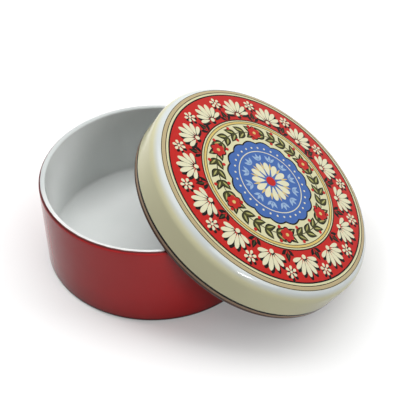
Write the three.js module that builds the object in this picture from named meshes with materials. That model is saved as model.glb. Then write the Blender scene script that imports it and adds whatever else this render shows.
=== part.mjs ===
// Camembert baker: a straight-sided porcelain dish with a slip-over lid, shown with the lid taken off
// and leaning on the dish's rim. Millimetres and degrees, +Z up, the lid leans towards +X.
import * as THREE from 'three';

// The dish takes a whole cheese of about 110 mm across and 30 mm high.
const DISH_RADIUS = 62; // outside of the wall
const DISH_HEIGHT = 51.5; // table to the top of the rim
const DISH_WALL = 3.4; // the rim is fully rounded, so this is its width too
const DISH_FLOOR = 4.6; // thickness over the recess in the foot
const FLOOR_FILLET = 3.2; // inside corner between the floor and the wall
const BASE_ROUND = 1.6; // outer bottom edge
const FOOT_WIDTH = 5; // flat ring that the dish stands on
const FOOT_DEPTH = 1.2; // recess inside that ring

// The lid's skirt slips over the dish's wall, and its underside rests on the rim when it is closed.
const LID_PLAY = 2; // gap all round between the skirt and the dish's wall
const LID_WALL = 4.2; // the lip is fully rounded
const LID_TOP = 3.5; // thickness at the edge of the top
const LID_HEIGHT = 23.6; // edge of the top to the lip
const CROWN_RADIUS = 700; // the top is slightly domed, over a flat underside
const SHOULDER_ROUND = 6.8; // edge between the top and the skirt
const LID_FILLET = 3; // inside corner between the top and the skirt

// The lid's lip stands on the table, and the far rim of the dish carries its underside.
const LEAN = 31.3; // angle of the lid's top to the table
const TOUCH_GAP = 0.35; // what is left between the lid and the rim that carries it

// How finely the round forms are cut into flats.
const TURN_STEPS = 64; // round the axis
const ARC_STEPS = 8; // along each arc of a profile
const RIM_SAMPLES = 720; // points round the rim where its gap to the lid is measured
const SLIDE_STEP = 0.02; // by which the lid is drawn off the rim until it clears

const RIM_ROUND = DISH_WALL / 2;
const DISH_BORE = DISH_RADIUS - DISH_WALL;
const LIP_ROUND = LID_WALL / 2;
const LID_BORE = DISH_RADIUS + LID_PLAY;
const LID_RADIUS = LID_BORE + LID_WALL;

const lean = THREE.MathUtils.degToRad(LEAN);

// A path's points, with every arc in the same number of steps, no point twice and the last on the axis.
function outline(path) {
  const points = path.getPoints(ARC_STEPS / 2);
  points.at(-1).setX(0);
  return points.filter((point, i) => i === 0 || point.distanceTo(points[i - 1]) > 1e-6);
}

// Half section of the dish, x from its axis and y up from the table: the recessed foot, the outside of
// the wall, over the rim, then down the inside to the middle of the floor.
function dishSection() {
  const floor = FOOT_DEPTH + DISH_FLOOR;
  const footEdge = DISH_RADIUS - BASE_ROUND - FOOT_WIDTH;
  const rimCentre = DISH_RADIUS - RIM_ROUND;
  const rimHeight = DISH_HEIGHT - RIM_ROUND;
  const quarter = Math.PI / 2;
  const path = new THREE.Path();
  path.moveTo(0, FOOT_DEPTH);
  path.lineTo(footEdge - FOOT_DEPTH, FOOT_DEPTH);
  path.absarc(footEdge - FOOT_DEPTH, 0, FOOT_DEPTH, quarter, 0, true);
  path.lineTo(DISH_RADIUS - BASE_ROUND, 0);
  path.absarc(DISH_RADIUS - BASE_ROUND, BASE_ROUND, BASE_ROUND, -quarter, 0, false);
  path.lineTo(DISH_RADIUS, rimHeight);
  path.absarc(rimCentre, rimHeight, RIM_ROUND, 0, Math.PI, false);
  path.lineTo(DISH_BORE, floor + FLOOR_FILLET);
  path.absarc(DISH_BORE - FLOOR_FILLET, floor + FLOOR_FILLET, FLOOR_FILLET, 0, -quarter, true);
  path.lineTo(0, floor);
  return outline(path);
}

// Half section of the lid, y measured from the edge of its top: the underside, down the inside of the
// skirt, round the lip, up the outside and over the shoulder, then up the crown to the middle.
function lidSection() {
  const lipHeight = LIP_ROUND - LID_HEIGHT;
  const shoulder = LID_RADIUS - SHOULDER_ROUND;
  const crownTurn = Math.asin(shoulder / (CROWN_RADIUS - SHOULDER_ROUND));
  const crownCentre = -SHOULDER_ROUND - (CROWN_RADIUS - SHOULDER_ROUND) * Math.cos(crownTurn);
  const quarter = Math.PI / 2;
  const path = new THREE.Path();
  path.moveTo(0, -LID_TOP);
  path.lineTo(LID_BORE - LID_FILLET, -LID_TOP);
  path.absarc(LID_BORE - LID_FILLET, -LID_TOP - LID_FILLET, LID_FILLET, quarter, 0, true);
  path.lineTo(LID_BORE, lipHeight);
  path.absarc(LID_BORE + LIP_ROUND, lipHeight, LIP_ROUND, -Math.PI, 0, false);
  path.lineTo(LID_RADIUS, -SHOULDER_ROUND);
  path.absarc(shoulder, -SHOULDER_ROUND, SHOULDER_ROUND, 0, quarter - crownTurn, false);
  path.absarc(0, crownCentre, CROWN_RADIUS, quarter - crownTurn, quarter, false);
  return outline(path);
}

// A section turned round the Z axis.
function turned(section) {
  return new THREE.LatheGeometry(section, TURN_STEPS).rotateX(Math.PI / 2);
}

// Height of the leaning lid's own origin, with the lowest point of the lid on the table.
function leanHeight(section) {
  return Math.max(...section.map(({ x, y }) => x * Math.sin(lean) - y * Math.cos(lean)));
}

// Least gap between the dish's rim and the lid, whose own origin is at this distance and height. The
// rim is a round bead, so each point of its centre line is turned into the lid's own half section and
// measured to the lines there.
function rimGap(section, distance, height) {
  const sin = Math.sin(lean);
  const cos = Math.cos(lean);
  const edge = new THREE.Line3();
  const nearest = new THREE.Vector3();
  const point = new THREE.Vector3();
  let least = Infinity;
  for (let i = 0; i <= RIM_SAMPLES; i += 1) {
    const turn = (Math.PI * i) / RIM_SAMPLES;
    const out = (DISH_RADIUS - RIM_ROUND) * Math.cos(turn) - distance;
    const side = (DISH_RADIUS - RIM_ROUND) * Math.sin(turn);
    const up = DISH_HEIGHT - RIM_ROUND - height;
    point.set(Math.hypot(out * cos - up * sin, side), out * sin + up * cos, 0);
    for (let k = 1; k < section.length; k += 1) {
      edge.start.set(section[k - 1].x, section[k - 1].y, 0);
      edge.end.set(section[k].x, section[k].y, 0);
      edge.closestPointToPoint(point, true, nearest);
      least = Math.min(least, nearest.distanceTo(point));
    }
  }
  return least - RIM_ROUND;
}

// Distance of the lid's own origin from the dish's axis. It starts where the rim's far point carries
// the underside, and the lid is drawn off further if its lip would still foul the rim on either side.
function leanDistance(section, height) {
  const sin = Math.sin(lean);
  const cos = Math.cos(lean);
  const rimReach = (DISH_RADIUS - RIM_ROUND) * sin + (DISH_HEIGHT - RIM_ROUND) * cos + RIM_ROUND;
  let distance = (rimReach + LID_TOP + TOUCH_GAP - height * cos) / sin;
  while (rimGap(section, distance, height) < TOUCH_GAP - SLIDE_STEP) {
    distance += SLIDE_STEP;
  }
  return distance;
}

const redGlaze = new THREE.MeshStandardMaterial({ color: 0x9a2a2c, roughness: 0.15, metalness: 0 });
const creamGlaze = new THREE.MeshStandardMaterial({ color: 0xd6d0ac, roughness: 0.12, metalness: 0 });

const dish = new THREE.Mesh(turned(dishSection()), redGlaze);
dish.name = 'baking_dish';

const lid = new THREE.Mesh(turned(lidSection()), creamGlaze);
lid.name = 'lid';
lid.rotation.y = lean;
lid.position.z = leanHeight(lidSection());
lid.position.x = leanDistance(lidSection(), lid.position.z);

// The origin is on the table, under the middle of the whole set.
const pair = new THREE.Group();
pair.add(dish, lid);
const box = new THREE.Box3().setFromObject(pair, true);
pair.position.x = -(box.min.x + box.max.x) / 2;

const baker = new THREE.Group();
baker.name = 'camembert_baker';
baker.add(pair);

export default baker;
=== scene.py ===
# %% [markdown]
# # A camembert baker in red and white porcelain
# The object is two fired pieces: a straight-sided dish that takes one whole soft cheese, and a lid that
# slips over its wall. Here the lid is off and leans on the dish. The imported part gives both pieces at
# their real size, and this script gives them their finish in the same frame, in metres.

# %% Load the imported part
import cmath
import math

import bmesh
import bpy
from mathutils import Matrix, Vector


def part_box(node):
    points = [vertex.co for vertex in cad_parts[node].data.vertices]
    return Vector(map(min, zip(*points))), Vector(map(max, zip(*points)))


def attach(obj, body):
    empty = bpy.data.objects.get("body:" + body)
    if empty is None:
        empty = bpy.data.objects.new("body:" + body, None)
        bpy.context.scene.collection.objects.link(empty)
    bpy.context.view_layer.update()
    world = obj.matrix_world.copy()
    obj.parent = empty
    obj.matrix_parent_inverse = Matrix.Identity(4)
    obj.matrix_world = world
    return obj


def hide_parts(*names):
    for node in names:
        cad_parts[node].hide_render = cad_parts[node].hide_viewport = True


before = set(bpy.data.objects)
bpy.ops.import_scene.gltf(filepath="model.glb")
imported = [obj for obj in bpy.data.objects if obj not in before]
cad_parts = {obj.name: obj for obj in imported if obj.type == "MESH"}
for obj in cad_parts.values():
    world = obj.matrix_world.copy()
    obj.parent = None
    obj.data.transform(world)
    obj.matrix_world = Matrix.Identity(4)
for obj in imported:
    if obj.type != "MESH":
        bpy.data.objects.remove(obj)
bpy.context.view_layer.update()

MM = 0.001
scene = bpy.context.scene
scene.view_settings.view_transform = "Standard"

# %% [markdown]
# ## Three helpers
# A finish is a tree of nodes, and so is a shape that follows a rule. One helper turns an sRGB hex code
# into the linear colour that Blender calculates with, and the next adds a node of any kind with its
# settings and its links, so that a tree reads from top to bottom like a recipe. A colour ramp keeps its
# stops in a list of its own, so a third helper fills that in.


# %% Colour and node helpers
def colour(code):
    """Linear RGBA of an sRGB hex code such as d0d0ac."""
    parts = [int(code[i : i + 2], 16) / 255 for i in (0, 2, 4)]
    return (*(c / 12.92 if c <= 0.04045 else ((c + 0.055) / 1.055) ** 2.4 for c in parts), 1.0)


def add(tree, kind, inputs=None, **settings):
    """A new node: settings are its properties, and an input takes a value, a socket or a node."""
    node = tree.nodes.new(kind)
    for name, value in settings.items():
        setattr(node, name, value)
    for name, value in (inputs or {}).items():
        if isinstance(value, bpy.types.Node):
            value = value.outputs[0]
        if isinstance(value, bpy.types.NodeSocket):
            tree.links.new(value, node.inputs[name])
        else:
            node.inputs[name].default_value = value
    return node


def set_stops(ramp, stops):
    """Give a new colour ramp its stops of (place, linear colour), in order from place 0 to place 1."""
    for at, _ in stops[1:-1]:
        ramp.elements.new(at)
    for element, (_, tone) in zip(ramp.elements, stops):
        element.color = tone


print("white in linear light:", colour("ffffff"))

# %% [markdown]
# ## Camera
# The photograph was taken from in front and above with a long lens. The rim, the base and the lid's edges
# give its place and its angle: 42 degrees down, and turned by 13 degrees from a square look at the plane
# in which the lid leans.

# %% Camera
CAMERA_AT = Vector((79.07, -363.95, 376.36)) * MM
CAMERA_AZIMUTH = math.radians(12.6)
CAMERA_ELEVATION = math.radians(42.37)
LENS_MM, SENSOR_MM = 82.54, 36.0
CLIP_START = 0.01

camera = bpy.data.objects.new("camera", bpy.data.cameras.new("camera"))
camera.data.lens = LENS_MM
camera.data.sensor_width = SENSOR_MM
camera.data.clip_start = CLIP_START
camera.location = CAMERA_AT
camera.rotation_euler = (math.pi / 2 - CAMERA_ELEVATION, 0, CAMERA_AZIMUTH)
scene.collection.objects.link(camera)
scene.camera = camera
ahead = camera.rotation_euler.to_matrix() @ Vector((0, 0, -1))
print("camera looks along", [round(v, 3) for v in ahead])

# %% [markdown]
# ## Floor and light
# Such a product is lit in layers: soft light for the object, and more of it for the white table, so that the
# table turns white and only a soft shadow is left. Light linking gives the layers. The softboxes leave the
# table out: a wide one overhead, one behind on the right that reaches into the dish, one in front, and a low
# one behind on the left that reaches under the lid. Three lamps light the table alone and draw the shadow.
# Two cards show only in reflections, a broad one for the sheen and a thin one for the streak on the lid's
# shoulder. Only what the camera or a reflection sees of the table and the world is white: for those rays the
# table glows a little, as a light table does, and fully far off, and the object gets no more light for it.

# %% Floor and world
FLOOR_SIZE = 6.0
FLOOR_PAINT = "848484"  # for the light that the table sends back
FLOOR_SEEN = 0.6  # level of the paper that the camera sees
FLOOR_GLOW = 0.24  # share of the glow round the object
FAR_FROM, FAR_TO = 0.25, 0.6  # metres from the middle over which the glow takes over
WORLD_FILL = 0.03


def seen_directly(tree):
    """1 for rays from the camera and for mirror and glass rays, 0 for the rays that light things."""
    path = add(tree, "ShaderNodeLightPath")
    both = add(tree, "ShaderNodeMath", {0: path.outputs["Is Camera Ray"], 1: path.outputs["Is Glossy Ray"]},
               operation="MAXIMUM")
    return add(tree, "ShaderNodeMath", {0: both, 1: path.outputs["Is Transmission Ray"]}, operation="MAXIMUM")


floor_mesh = bpy.data.meshes.new("floor")
half = FLOOR_SIZE / 2
floor_mesh.from_pydata([(-half, -half, 0), (half, -half, 0), (half, half, 0), (-half, half, 0)], [],
                       [(0, 1, 2, 3)])
floor = bpy.data.objects.new("floor", floor_mesh)
scene.collection.objects.link(floor)

paper = bpy.data.materials.new("white paper table")
paper.use_nodes = True
tree = paper.node_tree
tree.nodes.clear()
seen = seen_directly(tree)
tint = add(tree, "ShaderNodeMix", {0: seen, 6: colour(FLOOR_PAINT),
                                   7: (FLOOR_SEEN, FLOOR_SEEN, FLOOR_SEEN, 1)}, data_type="RGBA")
place = add(tree, "ShaderNodeTexCoord").outputs["Object"]
far = add(tree, "ShaderNodeVectorMath", {0: place}, operation="LENGTH")
paper_glow = add(tree, "ShaderNodeMapRange", {"Value": far.outputs["Value"], "From Min": FAR_FROM,
                                              "From Max": FAR_TO, "To Min": FLOOR_GLOW, "To Max": 1.0})
glow_share = add(tree, "ShaderNodeMath", {0: seen, 1: paper_glow}, operation="MULTIPLY")
matt = add(tree, "ShaderNodeBsdfDiffuse", {"Color": tint.outputs[2]})
glow = add(tree, "ShaderNodeEmission", {"Color": colour("ffffff"), "Strength": 1.0})
lit = add(tree, "ShaderNodeMixShader", {0: glow_share, 1: matt, 2: glow})
add(tree, "ShaderNodeOutputMaterial", {"Surface": lit})
floor_mesh.materials.append(paper)

world = bpy.data.worlds.new("white studio")
scene.world = world
world.use_nodes = True
tree = world.node_tree
tree.nodes.clear()
level = add(tree, "ShaderNodeMapRange", {"Value": seen_directly(tree), "To Min": WORLD_FILL, "To Max": 1.0})
sky = add(tree, "ShaderNodeBackground", {"Color": colour("ffffff"), "Strength": level})
add(tree, "ShaderNodeOutputWorld", {"Surface": sky})
print("floor", FLOOR_SIZE, "m wide, world fill", WORLD_FILL)

# %% Softboxes
LAMP_DISTANCE = 1.25
# Each lamp's turn and height in degrees, its size in metres, its power in watts and what it is for.
LAMPS = (
    ("overhead softbox", 155, 80, (0.9, 0.9), 11.1, "object"),
    ("side softbox", 52, 30, (0.4, 0.4), 6.0, "object"),
    ("front softbox", -42, 35, (0.5, 0.5), 4.7, "object"),
    ("back softbox", 138, 8, (0.4, 0.4), 6.0, "object"),
    ("shine card", -30, 40, (0.8, 0.8), 9.6, "shine"),
    ("streak card", -42, 30, (0.4, 0.07), 6.0, "shine"),
    ("table strip", 90, 75, (6.0, 0.8), 80.0, "table"),
    ("table left", 180, 50, (0.6, 0.6), 6.4, "table"),
    ("table right", -40, 45, (0.6, 0.6), 4.4, "table"),
)
SEEN_IN_GLAZE = ("overhead softbox", "shine card", "streak card")

beside_table = bpy.data.collections.new("lamps that miss the table")
beside_table.objects.link(floor)
beside_table.collection_objects[0].light_linking.link_state = "EXCLUDE"
only_table = bpy.data.collections.new("lamps for the table")
only_table.objects.link(floor)

for name, turn, up, size, power, use in LAMPS:
    light = bpy.data.lights.new(name, "AREA")
    light.shape = "RECTANGLE"
    light.size, light.size_y = size
    light.energy = power
    lamp = bpy.data.objects.new(name, light)
    lamp.visible_glossy = name in SEEN_IN_GLAZE
    lamp.visible_diffuse = use != "shine"
    lamp.light_linking.receiver_collection = only_table if use == "table" else beside_table
    angle, rise = math.radians(turn), math.radians(up)
    towards = Vector((math.cos(angle) * math.cos(rise), math.sin(angle) * math.cos(rise), math.sin(rise)))
    lamp.location = towards * LAMP_DISTANCE
    lamp.rotation_euler = towards.to_track_quat("Z", "Y").to_euler()
    scene.collection.objects.link(lamp)
    print(name, "at", [round(v, 2) for v in lamp.location], power, "W")

# %% [markdown]
# ## Sizes
# Both pieces are turned forms, so a few radii and heights say all of their shape. The dish's axis and
# the lid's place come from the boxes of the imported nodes: the lid's lip stands on the table, and the
# lean is the one angle that has to be known. The inside edge of the rim and the corner round the dish's
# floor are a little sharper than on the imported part, as the photograph shows. All sizes are in millimetres.

# %% Sizes of the dish and the lid
DISH_RADIUS, DISH_HEIGHT, DISH_WALL = 62.0, 51.5, 3.4
RIM_OUTSIDE, RIM_INSIDE = 1.7, 1.1
FLOOR_TOP, FLOOR_FILLET = 5.8, 1.8
BASE_ROUND, FOOT_WIDTH, FOOT_DEPTH, RECESS_ROUND = 1.6, 5.0, 1.2, 1.08
LID_RADIUS, LID_WALL, LID_TOP, LID_HEIGHT = 68.2, 4.2, 3.5, 23.6
SHOULDER_ROUND, CROWN_RADIUS, LID_FILLET = 6.8, 700.0, 3.0
LEAN = math.radians(31.3)

DISH_BORE = DISH_RADIUS - DISH_WALL
FOOT_EDGE = DISH_RADIUS - BASE_ROUND - FOOT_WIDTH
LID_BORE = LID_RADIUS - LID_WALL

dish_low, dish_high = (Vector(c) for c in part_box("baking_dish"))
lid_low, lid_high = (Vector(c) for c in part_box("lid"))
dish_axis = (dish_low + dish_high) / 2
lip_round = LID_WALL / 2
lip_out, lip_down = LID_RADIUS - lip_round, LID_HEIGHT - lip_round
lip_reach = lip_out * math.sin(LEAN) + lip_down * math.cos(LEAN) + lip_round
SHOULDER = LID_RADIUS - SHOULDER_ROUND
lid_reach = SHOULDER * math.cos(LEAN) - SHOULDER_ROUND * math.sin(LEAN) + SHOULDER_ROUND
LID_CENTRE = Vector((lid_high.x - lid_reach * MM, dish_axis.y, lid_low.z + lip_reach * MM))
LID_PLACE = Matrix.Translation(LID_CENTRE) @ Matrix.Rotation(LEAN, 4, "Y")

CROWN_TURN = math.asin(SHOULDER / (CROWN_RADIUS - SHOULDER_ROUND))
CROWN_CENTRE = -SHOULDER_ROUND - (CROWN_RADIUS - SHOULDER_ROUND) * math.cos(CROWN_TURN)
CROWN_EDGE = CROWN_RADIUS * CROWN_TURN
SKIRT_TOP = CROWN_EDGE + SHOULDER_ROUND * (math.pi / 2 - CROWN_TURN)


def on_lid(along, lift):
    """Radius and height of a place on the lid's outside, so far along it from the middle of the top."""
    if along < CROWN_EDGE:
        turn, out = along / CROWN_RADIUS, CROWN_RADIUS + lift
        return out * math.sin(turn), CROWN_CENTRE + out * math.cos(turn), 0
    turn = min(CROWN_TURN + (along - CROWN_EDGE) / SHOULDER_ROUND, math.pi / 2)
    out, down = SHOULDER_ROUND + lift, max(along - SKIRT_TOP, 0)
    return SHOULDER + out * math.sin(turn), out * math.cos(turn) - SHOULDER_ROUND - down, 0


print("crown", round(on_lid(0, 0)[1], 2), "mm high, skirt starts", round(SKIRT_TOP, 2), "mm along")
print("dish axis x", round(dish_axis.x / MM, 2), "lid centre", [round(v / MM, 2) for v in LID_CENTRE])

# %% [markdown]
# ## Glazes
# Porcelain is cast in a plaster mould, fired, dipped in white glaze and fired again. The red of the dish
# and the cream of the skirt are coloured glazes sprayed on before the last firing, so all of the surface
# has the same glassy gloss. Glass has an IOR of about 1.5, and a fired glaze lies in faint waves, about a
# centimetre long, with a finer peel on them, which break the edge of a reflection a little. Both are bumps
# that every glaze and every enamel here shares, in the frame's own coordinates, so they run on from piece to
# piece. Where the glaze lies thicker its colour is deeper, in soft clouds of about two centimetres.

# %% What every glaze shares
GLAZE_IOR = 1.5
WAVE_MM = 14.0
WAVE_DEPTH_MM = 0.025
PEEL_MM = 2.2
PEEL_DEPTH_MM = 0.004
CLOUD_MM = 22.0
GLOSS = 0.05
GLOSS_SPREAD = 0.05
GLAZE_SHINE = 0.24  # bare glass has 0.5, and this is matched to the photograph


def start_glaze(name, shine):
    """A new material with a Principled shader that has the gloss and the waves of a fired glaze."""
    material = bpy.data.materials.new(name)
    material.use_nodes = True
    tree = material.node_tree
    tree.nodes.clear()
    place = add(tree, "ShaderNodeTexCoord").outputs["Object"]
    wave = add(tree, "ShaderNodeTexNoise", {"Vector": place, "Scale": 1 / (WAVE_MM * MM), "Detail": 1.0})
    peel = add(tree, "ShaderNodeTexNoise", {"Vector": place, "Scale": 1 / (PEEL_MM * MM), "Detail": 0.0})
    slow = add(tree, "ShaderNodeBump", {"Height": wave, "Distance": WAVE_DEPTH_MM * MM, "Strength": 1.0})
    fine = add(tree, "ShaderNodeBump", {"Height": peel, "Distance": PEEL_DEPTH_MM * MM, "Normal": slow})
    gloss = add(tree, "ShaderNodeMapRange", {
        "Value": wave, "To Min": GLOSS, "To Max": GLOSS + GLOSS_SPREAD})
    shader = add(tree, "ShaderNodeBsdfPrincipled", {
        "IOR": GLAZE_IOR, "Specular IOR Level": shine, "Roughness": gloss, "Normal": fine})
    add(tree, "ShaderNodeOutputMaterial", {"Surface": shader})
    return material, shader, place


def turned_place(tree, place, centre, lean):
    """Radius from a piece's own axis and height along it, in millimetres."""
    own = add(tree, "ShaderNodeMapping", {"Vector": place, "Location": centre, "Rotation": (0, lean, 0),
                                          "Scale": (MM, MM, MM)}, vector_type="TEXTURE")
    parts = add(tree, "ShaderNodeSeparateXYZ", {"Vector": own})
    flat = add(tree, "ShaderNodeCombineXYZ", {"X": parts.outputs["X"], "Y": parts.outputs["Y"]})
    radius = add(tree, "ShaderNodeVectorMath", {0: flat}, operation="LENGTH")
    return radius.outputs["Value"], parts.outputs["Z"]


print("waves", WAVE_MM, "mm long and", WAVE_DEPTH_MM, "mm deep")

# %% [markdown]
# ## The dish's finish
# Red outside, white inside and over the rim, where the red was wiped back before firing. The wiped edge isn't
# ruled: it lies a little off centre, wavers by some tenths of a millimetre and keeps a dark, dull seam. The
# white on the rim is darkened by painted shade towards the back and brightened by a painted highlight in
# front. All of it is one material, because it lies under the same gloss. The radius decides between the
# white, the seam and the red, and just below the rim it is shifted, so that all of the wall is red. Towards
# the base the red is darkened by painted shade, darkest in the rounding over the foot. The foot ring is left
# bare, or the dish would stick to the kiln shelf, so it is matt and a little gritty.

# %% Red and white glaze of the dish
RED, RED_DEEP, RED_SEAM = "ca191d", "bd161a", "5a0e10"
WHITE, WHITE_DEEP = "e5e7e6", "dce0de"
# painted shade on the rim's white towards the back, and a painted highlight on it in front
RIM_SHADE, RIM_HIGHLIGHT = "d4d9d8", "fbfcfb"
HIGHLIGHT_FROM, HIGHLIGHT_TO = -22.0, -48.0  # along Y from the dish's axis
RIM_FROM, RIM_FULL = 1.2, 0.3  # below the top of the rim
RED_EDGE, SEAM_WIDTH, RED_FADE = 60.9, 0.95, 0.15
SEAM_ROUGH = 0.5
WIPED_OFF_CENTRE = (-0.24, 0.34)
WALL_SHIFT, SHIFT_FROM, SHIFT_FULL = 1.4, 0.9, 2.4  # the shift, and where it sets in below the rim's top
WAVER, WAVER_MM = 0.3, 5.0  # depth and length of the wavering
# painted shade: levels that darken the red towards the base, darkest in the rounding over the foot
BASE_SHADE = ((0.0, 0.12), (1.8, 0.16), (2.6, 0.72), (7.0, 0.9), (18.0, 1.0))  # height, and level of the red

dish_glaze, shader, place = start_glaze("red and white porcelain glaze", GLAZE_SHINE)
tree = dish_glaze.node_tree
wiped = dish_axis + Vector((*WIPED_OFF_CENTRE, 0)) * MM
radius, height = turned_place(tree, place, (wiped.x, wiped.y, 0), 0)
cloud = add(tree, "ShaderNodeTexNoise", {"Vector": place, "Scale": 1 / (CLOUD_MM * MM), "Detail": 2.0})
edge = add(tree, "ShaderNodeTexNoise", {"Vector": place, "Scale": 1 / (WAVER_MM * MM), "Detail": 2.0})
wavered = add(tree, "ShaderNodeMath", {0: edge, 1: WAVER, 2: radius}, operation="MULTIPLY_ADD")
shift = add(tree, "ShaderNodeMapRange", {
    "Value": height, "From Min": DISH_HEIGHT - SHIFT_FULL, "From Max": DISH_HEIGHT - SHIFT_FROM,
    "To Min": WALL_SHIFT, "To Max": 0.0})
reach = add(tree, "ShaderNodeMath", {0: wavered, 1: shift}, operation="ADD")
start = RED_EDGE + WAVER / 2
red = add(tree, "ShaderNodeMapRange", {
    "Value": reach, "From Min": start - RED_FADE, "From Max": start + RED_FADE},
    interpolation_type="SMOOTHSTEP")
past_seam = add(tree, "ShaderNodeMapRange", {
    "Value": reach, "From Min": start + SEAM_WIDTH - RED_FADE, "From Max": start + SEAM_WIDTH + RED_FADE})
print("red starts at a radius of", RED_EDGE, "mm, past a seam of", SEAM_WIDTH, "mm")

# %% Coats of the dish
red_coat = add(tree, "ShaderNodeMix", {0: cloud, 6: colour(RED), 7: colour(RED_DEEP)}, data_type="RGBA")
# painted shade towards the base, multiplied into the red coat
base_shade_top = BASE_SHADE[-1][0]
low = add(tree, "ShaderNodeMapRange", {"Value": height, "From Max": base_shade_top})
base_shade_ramp = add(tree, "ShaderNodeValToRGB", {"Fac": low})
set_stops(base_shade_ramp.color_ramp, [(up / base_shade_top, (level, level, level, 1)) for up, level in BASE_SHADE])
red_in_base_shade = add(tree, "ShaderNodeMix", {0: 1.0, 6: red_coat.outputs[2], 7: base_shade_ramp.outputs["Color"]},
             data_type="RGBA", blend_type="MULTIPLY")
seamed = add(tree, "ShaderNodeMix", {0: past_seam, 6: colour(RED_SEAM), 7: red_in_base_shade.outputs[2]},
             data_type="RGBA")
white_coat = add(tree, "ShaderNodeMix", {0: cloud, 6: colour(WHITE), 7: colour(WHITE_DEEP)},
                 data_type="RGBA")
across = add(tree, "ShaderNodeSeparateXYZ", {"Vector": place})
# share of the painted highlight on the rim, rising towards the front; the rest of the rim has painted shade
rim_highlight_share = add(tree, "ShaderNodeMapRange", {
    "Value": across.outputs["Y"], "From Min": dish_axis.y + HIGHLIGHT_FROM * MM,
    "From Max": dish_axis.y + HIGHLIGHT_TO * MM})
rim_shade_and_highlight = add(tree, "ShaderNodeMix", {0: rim_highlight_share, 6: colour(RIM_SHADE), 7: colour(RIM_HIGHLIGHT)},
               data_type="RGBA")
on_rim = add(tree, "ShaderNodeMapRange", {
    "Value": height, "From Min": DISH_HEIGHT - RIM_FROM, "From Max": DISH_HEIGHT - RIM_FULL})
white = add(tree, "ShaderNodeMix", {0: on_rim, 6: white_coat.outputs[2], 7: rim_shade_and_highlight.outputs[2]},
            data_type="RGBA")
coat = add(tree, "ShaderNodeMix", {0: red, 6: white.outputs[2], 7: seamed.outputs[2]}, data_type="RGBA")
tree.links.new(coat.outputs[2], shader.inputs["Base Color"])
seam = add(tree, "ShaderNodeMath", {0: red, 1: past_seam}, operation="SUBTRACT", use_clamp=True)
gloss = shader.inputs["Roughness"].links[0].from_socket
dulled = add(tree, "ShaderNodeMix", {0: seam, 2: gloss, 3: SEAM_ROUGH})
tree.links.new(dulled.outputs[0], shader.inputs["Roughness"])
print("made:", dish_glaze.name, "with", len(tree.nodes), "nodes")

# %% Bare foot ring
GRIT_MM, GRIT_DEPTH_MM = 0.35, 0.03
CHALK, CHALK_PALE = "cfc8bb", "e2ddd3"
BARE_SMOOTH, BARE_ROUGH = 0.6, 0.85

bare = bpy.data.materials.new("unglazed porcelain foot")
bare.use_nodes = True
tree = bare.node_tree
tree.nodes.clear()
place = add(tree, "ShaderNodeTexCoord").outputs["Object"]
grit = add(tree, "ShaderNodeTexNoise", {"Vector": place, "Scale": 1 / (GRIT_MM * MM), "Detail": 3.0})
chalk = add(tree, "ShaderNodeMix", {0: grit, 6: colour(CHALK), 7: colour(CHALK_PALE)}, data_type="RGBA")
rough = add(tree, "ShaderNodeMapRange", {"Value": grit, "To Min": BARE_SMOOTH, "To Max": BARE_ROUGH})
rub = add(tree, "ShaderNodeBump", {"Height": grit, "Distance": GRIT_DEPTH_MM * MM})
shader = add(tree, "ShaderNodeBsdfPrincipled", {"Base Color": chalk.outputs[2], "Roughness": rough,
                                                "Normal": rub})
add(tree, "ShaderNodeOutputMaterial", {"Surface": shader})
print("made:", bare.name, "with a grit of", GRIT_MM, "mm")

# %% [markdown]
# ## The lid's finish
# The skirt is cream. The colour thins out over the shoulder, where the white glaze shows, and stops near the
# lip, at a thin black line that comes with the print. Below the line the lip is tan, with a dark edge that is
# partly its own brown and partly painted shade and a painted reflection of the red dish below it. The inside
# is white. A colour ramp along the lid's own axis holds all these bands, so each stop is a height in
# millimetres below the edge of the top. The slightly domed top is the cream ground of the print.

# %% Cream and white glaze of the lid
# the lip's dark edge is partly its own brown and partly painted shade and a painted reflection of the dish
CREAM, TAN, LIP_BROWN_AND_SHADE, SHOULDER_WHITE = "e6e2b8", "a98a6c", "4e2a1a", "dbe1e0"
PRINT_CREAM, PRINT_EDGE = "d5d2a8", 64.3
LIP_INWARDS = 0.6  # from the middle of the lip to where the inside's white starts
CLOUD_DEEP, CLOUD_PALE = 0.94, 1.03
SKIRT_BANDS = (
    (LID_HEIGHT, LIP_BROWN_AND_SHADE), (21.0, LIP_BROWN_AND_SHADE), (20.7, TAN), (19.4, TAN), (19.2, CREAM), (3.8, CREAM),
    (1.6, SHOULDER_WHITE), (0.0, SHOULDER_WHITE),
)

lid_glaze, shader, place = start_glaze("cream and white porcelain glaze", GLAZE_SHINE)
tree = lid_glaze.node_tree
radius, height = turned_place(tree, place, LID_CENTRE, LEAN)
along = add(tree, "ShaderNodeMapRange", {"Value": height, "From Min": -LID_HEIGHT, "From Max": 0.0})
bands = add(tree, "ShaderNodeValToRGB", {"Fac": along})
set_stops(bands.color_ramp, [(1 - down / LID_HEIGHT, colour(code)) for down, code in SKIRT_BANDS])
outside = add(tree, "ShaderNodeMath", {0: radius, 1: LID_RADIUS - LID_WALL / 2 - LIP_INWARDS},
              operation="GREATER_THAN")
above = add(tree, "ShaderNodeMath", {0: height, 1: -LID_TOP / 2}, operation="GREATER_THAN")
shell = add(tree, "ShaderNodeMath", {0: outside, 1: above}, operation="MAXIMUM")
skin = add(tree, "ShaderNodeMix", {0: shell, 6: colour(WHITE), 7: bands.outputs["Color"]}, data_type="RGBA")
printed = add(tree, "ShaderNodeMath", {0: radius, 1: PRINT_EDGE}, operation="LESS_THAN")
ground = add(tree, "ShaderNodeMath", {0: printed, 1: above}, operation="MULTIPLY")
top = add(tree, "ShaderNodeMix", {0: ground, 6: skin.outputs[2], 7: colour(PRINT_CREAM)}, data_type="RGBA")
cloud = add(tree, "ShaderNodeTexNoise", {"Vector": place, "Scale": 1 / (CLOUD_MM * MM), "Detail": 2.0})
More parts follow.
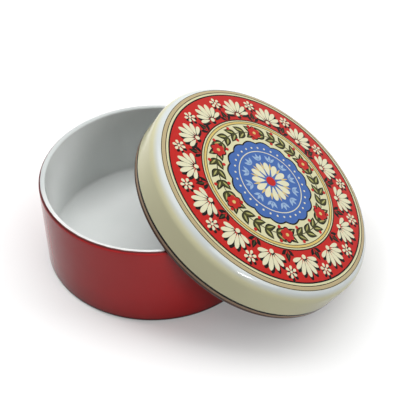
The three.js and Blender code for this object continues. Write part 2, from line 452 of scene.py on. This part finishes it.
shade = add(tree, "ShaderNodeMapRange", {"Value": cloud, "To Min": CLOUD_DEEP, "To Max": CLOUD_PALE})
coat = add(tree, "ShaderNodeMix", {0: 1.0, 6: top.outputs[2], 7: shade},
           data_type="RGBA", blend_type="MULTIPLY")
tree.links.new(coat.outputs[2], shader.inputs["Base Color"])
print("made:", lid_glaze.name, "with", len(SKIRT_BANDS), "stops down the skirt")

# %% [markdown]
# ## Turning the two pieces
# A potter's jigger turns clay against a template. Here the template is a curve: the corners of the half
# section, each with the radius it is rounded to, kept in the curve point's own radius. Geometry Nodes round
# the corners with Fillet Curve, cut the long straight runs into short steps, so that the shading stays flat
# on flat faces, and carry the section round a circle. Modelling with the Screw modifier would do too, but
# the tree keeps every size as an input.


# %% Geometry Nodes tree of a turned piece
WELD_MM = 0.001
SWELL_MM = 45.0


def new_tree(name, inputs):
    """An empty Geometry Nodes group with named inputs of (name, socket kind)."""
    tree = bpy.data.node_groups.new(name, "GeometryNodeTree")
    for label, kind in inputs:
        tree.interface.new_socket(label, in_out="INPUT", socket_type="NodeSocket" + kind)
    tree.interface.new_socket("Mesh", in_out="OUTPUT", socket_type="NodeSocketGeometry")
    return tree, add(tree, "NodeGroupInput").outputs


turning, given = new_tree("turned on the wheel", [
    ("Section", "Object"), ("Reach", "Float"), ("Turn Steps", "Int"), ("Arc Steps", "Int"),
    ("Straight Step", "Float"), ("Waver", "Float"), ("Glaze", "Material"), ("Foot", "Material"),
    ("Foot Height", "Float"), ("Crease", "Float")])
section = add(turning, "GeometryNodeObjectInfo", {"Object": given["Section"]})
rounded = add(turning, "GeometryNodeFilletCurve", {
    "Curve": section.outputs["Geometry"], "Radius": add(turning, "GeometryNodeInputRadius"),
    "Count": given["Arc Steps"]}, mode="POLY")
here = add(turning, "GeometryNodeInputPosition")
following = add(turning, "GeometryNodeOffsetPointInCurve", {"Offset": 1})
there = add(turning, "GeometryNodeFieldAtIndex", {"Value": here, "Index": following.outputs["Point Index"]},
            data_type="FLOAT_VECTOR", domain="POINT")
run = add(turning, "ShaderNodeVectorMath", {0: here, 1: there}, operation="DISTANCE")
cuts = add(turning, "ShaderNodeMath", {0: run.outputs["Value"], 1: given["Straight Step"]},
           operation="DIVIDE")
stepped = add(turning, "GeometryNodeSubdivideCurve", {"Curve": rounded, "Cuts": cuts})
print("section in", len(turning.nodes), "nodes")

# %% Carry the section round
back = add(turning, "ShaderNodeMath", {0: given["Reach"], 1: -1.0}, operation="MULTIPLY")
template = add(turning, "GeometryNodeTransform", {
    "Geometry": stepped, "Translation": add(turning, "ShaderNodeCombineXYZ", {"X": back}),
    "Scale": (1, -1, 1)})
circle = add(turning, "GeometryNodeCurvePrimitiveCircle", {
    "Resolution": given["Turn Steps"], "Radius": given["Reach"]})
upright = add(turning, "GeometryNodeSetCurveNormal", {"Curve": circle}, mode="Z_UP")
swept = add(turning, "GeometryNodeCurveToMesh", {"Curve": upright, "Profile Curve": template})
outward = add(turning, "GeometryNodeFlipFaces", {"Mesh": swept})
closed = add(turning, "GeometryNodeMergeByDistance", {"Geometry": outward, "Distance": WELD_MM * MM})
noise = add(turning, "ShaderNodeTexNoise", {"Vector": here, "Scale": 1 / (SWELL_MM * MM), "Detail": 0.0})
swell = add(turning, "ShaderNodeMath", {0: noise, 1: 0.5}, operation="SUBTRACT")
depth = add(turning, "ShaderNodeMath", {0: swell, 1: given["Waver"]}, operation="MULTIPLY")
push = add(turning, "ShaderNodeVectorMath", {0: add(turning, "GeometryNodeInputNormal"), "Scale": depth},
           operation="SCALE")
fired = add(turning, "GeometryNodeSetPosition", {"Geometry": closed, "Offset": push})
smooth = add(turning, "GeometryNodeSetShadeSmooth", {"Geometry": fired})
bend = add(turning, "GeometryNodeInputMeshEdgeAngle")
sharp = add(turning, "FunctionNodeCompare", {0: bend.outputs["Unsigned Angle"], 1: given["Crease"]},
            operation="GREATER_THAN")
creased = add(turning, "GeometryNodeSetShadeSmooth", {
    "Geometry": smooth, "Selection": sharp, "Shade Smooth": False}, domain="EDGE")
real = add(turning, "GeometryNodeRealizeInstances", {"Geometry": creased})
glazed = add(turning, "GeometryNodeSetMaterial", {"Geometry": real, "Material": given["Glaze"]})
level = add(turning, "ShaderNodeSeparateXYZ", {"Vector": here})
low = add(turning, "FunctionNodeCompare", {0: level.outputs["Z"], 1: given["Foot Height"]},
          operation="LESS_THAN")
footed = add(turning, "GeometryNodeSetMaterial", {"Geometry": glazed, "Selection": low,
                                                  "Material": given["Foot"]})
add(turning, "NodeGroupOutput", {"Mesh": footed})
print("tree:", turning.name, "with", len(turning.nodes), "nodes")


# %% Run a tree and keep its mesh
def flat_curve(name, runs, closed):
    """A curve object through runs of (x, y, rounding) points in millimetres."""
    data = bpy.data.curves.new(name, "CURVE")
    data.dimensions = "3D"
    for run in runs:
        spline = data.splines.new("POLY")
        spline.use_cyclic_u = closed
        spline.points.add(len(run) - 1)
        for point, (x, y, rounding) in zip(spline.points, run):
            point.co = (x * MM, y * MM, 0, 1)
            point.radius = rounding * MM
    return bpy.data.objects.new(name, data)


def run_tree(tree, name, values):
    """The plain mesh that a tree makes with these inputs, as an object in the scene."""
    piece = bpy.data.objects.new(name, bpy.data.meshes.new(name + "_seed"))
    scene.collection.objects.link(piece)
    modifier = piece.modifiers.new("tree", "NODES")
    modifier.node_group = tree
    for item in tree.interface.items_tree:
        if item.in_out == "INPUT" and item.name in values:
            modifier[item.identifier] = values[item.name]
    made = piece.evaluated_get(bpy.context.evaluated_depsgraph_get())
    mesh = bpy.data.meshes.new_from_object(made)
    mesh.name = name
    piece.modifiers.remove(modifier)
    piece.data = mesh
    solid = bmesh.new()
    solid.from_mesh(mesh)
    volume = solid.calc_volume(signed=True) / MM**3
    open_edges = sum(not e.is_manifold for e in solid.edges)
    solid.free()
    print(name, len(mesh.polygons), "faces", round(volume), "mm3", open_edges, "open edges")
    return piece


# %% [markdown]
# ## The dish and the lid
# The dish is eight corners: the foot, the outside of the wall, the rim and the floor. The lid's shoulder and
# crown are arcs, which on_lid gives as points. No fired wall is quite true, so the dish's swells in and out
# by some hundredths of a millimetre. The new mesh is moved to its place in the frame, rides on its body and
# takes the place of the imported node.

# %% Dish
BARE_BELOW = 0.25
NO_FOOT = {"Foot Height": -1.0}
WHEEL = {"Turn Steps": 192, "Arc Steps": 14, "Straight Step": 3.0 * MM, "Foot": bare, "Crease": 0.6}
dish_corners = [
    (0, FOOT_DEPTH, 0), (FOOT_EDGE, FOOT_DEPTH, RECESS_ROUND), (FOOT_EDGE, 0, 0),
    (DISH_RADIUS, 0, BASE_ROUND), (DISH_RADIUS, DISH_HEIGHT, RIM_OUTSIDE),
    (DISH_BORE, DISH_HEIGHT, RIM_INSIDE), (DISH_BORE, FLOOR_TOP, FLOOR_FILLET), (0, FLOOR_TOP, 0),
]
dish = run_tree(turning, "glazed_dish", dict(
    WHEEL, Section=flat_curve("dish_section", [dish_corners], False), Reach=DISH_RADIUS * MM,
    Waver=0.12 * MM, Glaze=dish_glaze, **{"Foot Height": BARE_BELOW * MM}))
dish.data.transform(Matrix.Translation((dish_axis.x, dish_axis.y, 0)))
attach(dish, "dish")
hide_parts("baking_dish")

# %% Lid
SHOULDER_STEPS, CROWN_STEPS = 16, 20
lid_corners = [
    (0, -LID_TOP, 0), (LID_BORE, -LID_TOP, LID_FILLET), (LID_BORE, -LID_HEIGHT, LID_WALL / 2),
    (LID_RADIUS, -LID_HEIGHT, LID_WALL / 2),
]
for i in range(SHOULDER_STEPS + 1):
    lid_corners.append(on_lid(SKIRT_TOP + (CROWN_EDGE - SKIRT_TOP) * i / SHOULDER_STEPS, 0))
for i in range(1, CROWN_STEPS + 1):
    lid_corners.append(on_lid(CROWN_EDGE * (1 - i / CROWN_STEPS), 0))
lid = run_tree(turning, "glazed_lid", dict(
    WHEEL, Section=flat_curve("lid_section", [lid_corners], False), Reach=LID_RADIUS * MM, Waver=0.0,
    Glaze=lid_glaze, **NO_FOOT))
lid.data.transform(LID_PLACE)
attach(lid, "lid")
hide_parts("lid")

# %% [markdown]
# ## The print on the lid
# The picture on the lid is a transfer: flat enamels are printed on gummed paper, one screen for each
# colour, slid on to the glazed lid and fired again. It could be drawn by nodes in the lid's own material,
# but a line of half a millimetre stays sharper as a real edge. So each colour is a thin mesh, some
# hundredths of a millimetre proud of the glaze. The wheel's tree turns the bands as well, from a thin section
# that follows the lid's own, over the rounding of the shoulder too, and one more tree sets copies of a motif
# round a ring.

# %% Geometry Nodes tree of motifs round a ring
MOTIF_WELD_MM = 0.002

ring_tree, given = new_tree("motifs round a ring", [
    ("Motif", "Object"), ("Count", "Int"), ("Ring Radius", "Float"), ("First", "Float"), ("Turn", "Float"),
    ("Thickness", "Float"), ("Shift", "Vector"), ("Crown Radius", "Float"), ("Crown Centre", "Float"),
    ("Enamel", "Material")])
motif = add(ring_tree, "GeometryNodeObjectInfo", {"Object": given["Motif"]})
sheet = add(ring_tree, "GeometryNodeFillCurve", {"Curve": motif.outputs["Geometry"]}, mode="TRIANGLES")
raised = add(ring_tree, "GeometryNodeExtrudeMesh", {
    "Mesh": sheet, "Offset Scale": given["Thickness"], "Individual": False}, mode="FACES")
under = add(ring_tree, "GeometryNodeFlipFaces", {"Mesh": sheet})
both = add(ring_tree, "GeometryNodeJoinGeometry")
for half_mesh in (raised.outputs["Mesh"], under.outputs["Mesh"]):
    ring_tree.links.new(half_mesh, both.inputs["Geometry"])
closed = add(ring_tree, "GeometryNodeMergeByDistance", {"Geometry": both, "Distance": MOTIF_WELD_MM * MM})
step = add(ring_tree, "ShaderNodeMath", {0: math.tau, 1: given["Count"]}, operation="DIVIDE")
index = add(ring_tree, "GeometryNodeInputIndex")
angle = add(ring_tree, "ShaderNodeMath", {0: index, 1: step, 2: given["First"]}, operation="MULTIPLY_ADD")
across = add(ring_tree, "ShaderNodeMath", {0: angle}, operation="COSINE")
along = add(ring_tree, "ShaderNodeMath", {0: angle}, operation="SINE")
ray = add(ring_tree, "ShaderNodeCombineXYZ", {"X": across, "Y": along})
spot = add(ring_tree, "ShaderNodeVectorMath", {0: ray, "Scale": given["Ring Radius"]}, operation="SCALE")
spots = add(ring_tree, "GeometryNodePoints", {"Count": given["Count"], "Position": spot})
facing = add(ring_tree, "ShaderNodeMath", {0: angle, 1: given["Turn"]}, operation="ADD")
spin = add(ring_tree, "FunctionNodeEulerToRotation", {
    0: add(ring_tree, "ShaderNodeCombineXYZ", {"Z": facing})})
copies = add(ring_tree, "GeometryNodeInstanceOnPoints", {
    "Points": spots, "Instance": closed, "Rotation": spin})
shifted = add(ring_tree, "GeometryNodeTransform", {"Geometry": copies, "Translation": given["Shift"]})
real = add(ring_tree, "GeometryNodeRealizeInstances", {"Geometry": shifted})
here = add(ring_tree, "ShaderNodeSeparateXYZ", {"Vector": add(ring_tree, "GeometryNodeInputPosition")})
flat = add(ring_tree, "ShaderNodeCombineXYZ", {"X": here.outputs["X"], "Y": here.outputs["Y"]})
square = add(ring_tree, "ShaderNodeVectorMath", {0: flat, 1: flat}, operation="DOT_PRODUCT")
ball = add(ring_tree, "ShaderNodeMath", {0: given["Crown Radius"], 1: 2.0}, operation="POWER")
left = add(ring_tree, "ShaderNodeMath", {0: ball, 1: square.outputs["Value"]}, operation="SUBTRACT")
rise = add(ring_tree, "ShaderNodeMath", {0: left, 1: 0.5}, operation="POWER")
crown = add(ring_tree, "ShaderNodeMath", {0: rise, 1: given["Crown Centre"]}, operation="ADD")
draped = add(ring_tree, "GeometryNodeSetPosition", {
    "Geometry": real, "Offset": add(ring_tree, "ShaderNodeCombineXYZ", {"Z": crown})})
faceted = add(ring_tree, "GeometryNodeSetShadeSmooth", {"Geometry": draped, "Shade Smooth": False})
add(ring_tree, "NodeGroupOutput", {"Mesh": add(ring_tree, "GeometryNodeSetMaterial", {
    "Geometry": faceted, "Material": given["Enamel"]})})
print("tree:", ring_tree.name, "with", len(ring_tree.nodes), "nodes")

# %% [markdown]
# ## Motifs
# The ornaments are ones that painted pottery has had for centuries: palmettes with florets and sprigs on a
# red border, a wreath of leaves with berries and rosettes, and a daisy and tufts in a scalloped blue
# medallion. A flat outline is easy to write as complex numbers: adding moves it, and multiplying by a number
# of length 1 turns it. Two formulas are enough, a leaf and a scalloped disc, with sizes in millimetres.


# %% Outlines
LEAF_STEPS = 14
DISC_STEPS, LOBE_STEPS = 24, 10


def leaf(length, width, swell=0.75, tip=1.0):
    """A leaf that starts at 0 and points along the real axis: swell moves its widest place, tip rounds it."""
    steps = [(1 - math.cos(math.pi * i / LEAF_STEPS)) / 2 for i in range(LEAF_STEPS + 1)]
    side = [complex(length * t, width / 2 * abs(math.sin(math.pi * t**swell)) ** tip) for t in steps]
    return side + [p.conjugate() for p in side[-2:0:-1]]


def petal(length, width):
    """A leaf that is widest near its round end."""
    return leaf(length, width, swell=1.6, tip=0.5)


def scallop(radius, lobes=1, depth=0.0):
    """A disc whose edge swells into round lobes."""
    count = max(DISC_STEPS, LOBE_STEPS * lobes)
    turns = [math.tau * i / count for i in range(count)]
    return [cmath.rect(radius - depth * (1 - abs(math.cos(lobes * t / 2))), t) for t in turns]


def fan(outline, out, degrees):
    """Copies of an outline that is moved out along its axis and turned to each angle."""
    return [[(p + out) * cmath.rect(1, math.radians(d)) for p in outline] for d in degrees]


def motif_curve(name, outlines):
    """A motif as a closed flat curve, outlines one inside the other leaving a hole."""
    return flat_curve(name, [[(p.real, p.imag, 0) for p in outline] for outline in outlines], True)


PALMETTE = motif_curve("palmette", [
    scallop(1.3), *fan(petal(9.4, 3.0), 2.0, [0]), *fan(petal(8.9, 2.8), 2.0, [-25, 25]),
    *fan(petal(7.8, 2.6), 2.0, [-50, 50]), *fan(petal(6.4, 2.4), 2.0, [-77, 77])])
FLORET = motif_curve("floret", [scallop(0.8), *fan(petal(2.6, 1.7), 1.0, range(0, 360, 60))])
DAISY = motif_curve("daisy", fan(petal(8.8, 3.6), 3.6, range(0, 360, 30)))
LEAF = motif_curve("wreath_leaf", fan(leaf(6.3, 2.8), 0.5, [0]))
LEAF_EDGE = motif_curve("leaf_edge", [leaf(7.5, 4.1)])
VEIN = motif_curve("leaf_light", [leaf(4.6, 0.9)])
SPRIG = motif_curve("sprig", [*fan(leaf(7.0, 3.0), 0.0, [0]), *fan(leaf(4.8, 2.5), 0.2, [-52, 52])])
SEPAL = motif_curve("sepal", [leaf(5.0, 1.1)])
ROSETTE = motif_curve("rosette", [scallop(4.2, 6, 1.1)])
ROSETTE_EDGE = motif_curve("rosette_edge", [scallop(4.9, 6, 1.1)])
MEDALLION = motif_curve("medallion", [scallop(26.3, 16, 1.6), scallop(22.4, 16)])
MEDALLION_EDGE = motif_curve("medallion_edge", [scallop(27.2, 16, 1.6), scallop(22.8, 16)])
HEART = motif_curve("heart", [scallop(3.0)])
BERRY = motif_curve("berry", [scallop(1.0)])
DOT = motif_curve("dot", [scallop(0.6)])
TUFT = motif_curve("tuft", fan(leaf(4.6, 1.7), 0.3, [-40, 0, 40]))
print("a palmette of", len(PALMETTE.data.splines), "outlines")

# %% [markdown]
# ## Enamels
# Overglaze enamel is coloured glass, ground fine and printed through a screen. It melts flat at 800 degrees
# and keeps less gloss than the glaze below it, and the screen leaves a fine, uneven grain in the colour. The
# grain is drawn at half a millimetre, coarser than the real dots, so that it shows.

# %% Enamel materials
ENAMEL_SHINE = 0.12
GRAIN_MM, GRAIN_DEEP = 0.5, 0.82


def enamel(name, code):
    """A printed enamel of one colour."""
    material, shader, place = start_glaze(name + " overglaze enamel", ENAMEL_SHINE)
    tree = material.node_tree
    grain = add(tree, "ShaderNodeTexNoise", {"Vector": place, "Scale": 1 / (GRAIN_MM * MM), "Detail": 1.0})
    deep = [c * GRAIN_DEEP for c in colour(code)[:3]] + [1.0]
    coat = add(tree, "ShaderNodeMix", {0: grain, 6: colour(code), 7: deep}, data_type="RGBA")
    tree.links.new(coat.outputs[2], shader.inputs["Base Color"])
    return material


print("enamel with a grain of", GRAIN_MM, "mm")

# %% [markdown]
# ## Printing
# A screen lays down one colour: bands round the lid, counted in millimetres along it from the middle of its
# top, and rings of motifs. Each layer stands a little higher than the one that it covers, and all reach a
# little into the glaze, so that no gap shows below them. The flowers of the border are printed in black
# first, nearly two millimetres to one side, which gives them a drop shadow. All that one screen prints is
# one mesh.

# %% Bands and rings
SUNK = 0.05
LAYER = 0.03
FLAT_STEP, ROUND_STEP = 3.0, 0.4


def band(start, end, layer):
    """Inputs of a band that lies on the lid between two places, counted along the lid from the middle."""
    count = math.ceil((end - start) / (FLAT_STEP if end < CROWN_EDGE else ROUND_STEP))
    places = [start + (end - start) * i / count for i in range(count + 1)]
    corners = [on_lid(p, -SUNK) for p in places] + [on_lid(p, LAYER * layer) for p in reversed(places)]
    return turning, dict(WHEEL, Section=flat_curve("band_section", [corners], True), Reach=end * MM,
                         Waver=0.0, **NO_FOOT, **{"Turn Steps": 240, "Arc Steps": 1, "Straight Step": 1.0})


def around(motif, count, ring, layer, first=0.0, turn=0.0, shift=(0.0, 0.0)):
    """Inputs of copies of a motif round a ring, with angles in degrees and the rest in millimetres."""
    return ring_tree, {
        "Motif": motif, "Count": count, "Ring Radius": ring * MM, "First": math.radians(first),
        "Turn": math.radians(turn), "Thickness": (SUNK + LAYER * layer) * MM,
        "Shift": (shift[0] * MM, shift[1] * MM, -SUNK * MM),
        "Crown Radius": CROWN_RADIUS * MM, "Crown Centre": CROWN_CENTRE * MM}


# %% Screens
DROP = (1.35, -1.15)  # of the black shadow
WREATH, LEAVES, LEANS = 33.0, 30, (56, 124)  # radius, leaves on a side and how each side leans
FLOWERS = 14
BETWEEN = 180 / FLOWERS  # degrees, halfway to the next flower
PALMETTES = {"motif": PALMETTE, "count": FLOWERS, "ring": 45.6}
FLORETS = {"motif": FLORET, "count": FLOWERS, "ring": 54.6, "first": BETWEEN}

SCREENS = {
    "ochre": ("c3b189", [band(62.0, 64.15, layer=1)]),
    "red": ("c52520", [
        band(41.8, 60.3, layer=1), around(ROSETTE, count=6, ring=WREATH, layer=4),
        *[around(BERRY, count=15, ring=ring, layer=3, first=4) for ring in (37.3, 28.8)],
        around(HEART, count=1, ring=0, layer=4)]),
    "yellow": ("dcc274", [
        band(39.0, 40.4, layer=1), around(SEPAL, count=12, ring=7.8, layer=3, first=15),
        around(BERRY, count=6, ring=WREATH, layer=5)]),
    "olive": ("434320", [
        band(32.75, 33.25, layer=2),
        *[around(LEAF, count=LEAVES, ring=WREATH, layer=2, turn=turn) for turn in LEANS],
        around(VEIN, count=FLOWERS, ring=43.6, layer=3, first=BETWEEN)]),
    "pale green": ("b3b06a", [
        around(VEIN, count=LEAVES, ring=ring, layer=3, first=2.0, turn=turn)
        for ring, turn in zip((33.8, 32.2), LEANS)]),
    "blue": ("456bb0", [band(0.0, 22.5, layer=2), around(MEDALLION, count=1, ring=0, layer=2)]),
    "pale blue": ("9db8d6", [around(TUFT, count=12, ring=13.4, layer=3, first=15)]),
    "black": ("15110e", [
        band(83.7, 84.9, layer=1), band(64.05, 64.35, layer=2), band(61.75, 62.15, layer=2),
        band(59.75, 60.55, layer=2), band(41.4, 42.05, layer=2), band(40.3, 40.65, layer=2),
        band(38.7, 39.05, layer=2), around(**PALMETTES, layer=2, shift=DROP),
        around(**FLORETS, layer=2, shift=DROP),
        around(SPRIG, count=FLOWERS, ring=42.3, layer=2, first=BETWEEN),
        *[around(LEAF_EDGE, count=LEAVES, ring=WREATH, layer=1, turn=turn) for turn in LEANS],
        around(ROSETTE_EDGE, count=6, ring=WREATH, layer=3),
        around(MEDALLION_EDGE, count=1, ring=0, layer=1)]),
    "cream": ("e6e2c0", [
        around(**PALMETTES, layer=3), around(**FLORETS, layer=3), band(19.4, 19.9, layer=3),
        around(DOT, count=32, ring=22.2, layer=3), around(DAISY, count=1, ring=0, layer=3)]),
}

for name, (code, rows) in SCREENS.items():
    coat = enamel(name, code)
    whole = bmesh.new()
    for tree, values in rows:
        part = run_tree(tree, "printed_row", dict(values, Enamel=coat, Glaze=coat))
        whole.from_mesh(part.data)
        bpy.data.objects.remove(part)
    piece_name = "print_" + name.replace(" ", "_")
    mesh = bpy.data.meshes.new(piece_name)
    whole.to_mesh(mesh)
    whole.free()
    mesh.materials.append(coat)
    mesh.transform(LID_PLACE)
    piece = bpy.data.objects.new(piece_name, mesh)
    scene.collection.objects.link(piece)
    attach(piece, "lid")
    print(piece.name, len(mesh.polygons), "faces")
